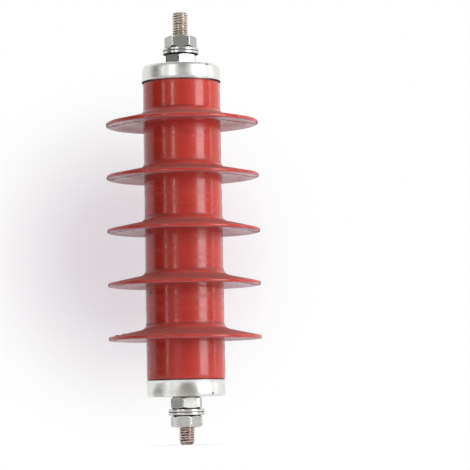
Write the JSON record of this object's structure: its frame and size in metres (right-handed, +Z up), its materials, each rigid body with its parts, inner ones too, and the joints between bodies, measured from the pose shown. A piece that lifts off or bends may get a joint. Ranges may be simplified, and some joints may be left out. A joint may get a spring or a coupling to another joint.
{
  "type": "polymer-housed surge arrester",
  "caption": "Surge arrester with a red silicone rubber housing, round sheds, bright metal end caps and a threaded stud terminal with nuts and washers at each end.",
  "frame": {"origin": "on the arrester's axis, in the outer face of the lower terminal nut, where the lower stud comes out", "axes": "+Z up along the arrester's axis, from the lower (earth) stud to the upper (line) stud; -Y is the side that the picture shows"},
  "size_m": [0.09, 0.09, 0.2555],
  "materials": {
    "silicone_rubber": "semi-gloss moulded silicone rubber",
    "cap_steel": "drawn and polished, fine lines round the axis",
    "fastener_steel": "matt faces, bright bevels",
    "stud_steel": "rolled thread",
    "turned_aluminium": "turned",
    "glass_fibre": "wound resin tube",
    "varistor_ceramic": "sintered, with a thin glaze round it",
    "spring_steel": "blackened steel",
    "seal_rubber": "black rubber"
  },
  "bodies": {
    "root": {"contact_plate_1": "turned_aluminium", "contact_plate_2": "turned_aluminium", "contact_plate_3": "turned_aluminium", "contact_plate_4": "turned_aluminium", "contact_plate_5": "turned_aluminium", "contact_plate_6": "turned_aluminium", "disc_spring_1": "spring_steel", "disc_spring_2": "spring_steel", "disc_spring_3": "spring_steel", "disc_spring_4": "spring_steel", "disc_spring_5": "spring_steel", "disc_spring_6": "spring_steel", "glass_fibre_tube": "glass_fibre", "housing": "silicone_rubber", "lower_cap": "cap_steel", "lower_end_block": "turned_aluminium", "lower_inner_washer": "fastener_steel", "lower_jam_nut": "fastener_steel", "lower_outer_washer": "fastener_steel", "lower_retaining_pins": "spring_steel", "lower_seal_ring": "seal_rubber", "lower_stud": "stud_steel", "lower_terminal_nut": "fastener_steel", "pressure_plate": "spring_steel", "upper_cap": "cap_steel", "upper_end_block": "turned_aluminium", "upper_inner_washer": "fastener_steel", "upper_jam_nut": "fastener_steel", "upper_outer_washer": "fastener_steel", "upper_retaining_pins": "spring_steel", "upper_seal_ring": "seal_rubber", "upper_stud": "stud_steel", "upper_terminal_nut": "fastener_steel", "varistor_disc_1": "varistor_ceramic", "varistor_disc_2": "varistor_ceramic", "varistor_disc_3": "varistor_ceramic", "varistor_disc_4": "varistor_ceramic", "varistor_disc_5": "varistor_ceramic"}
  },
  "joints": []
}
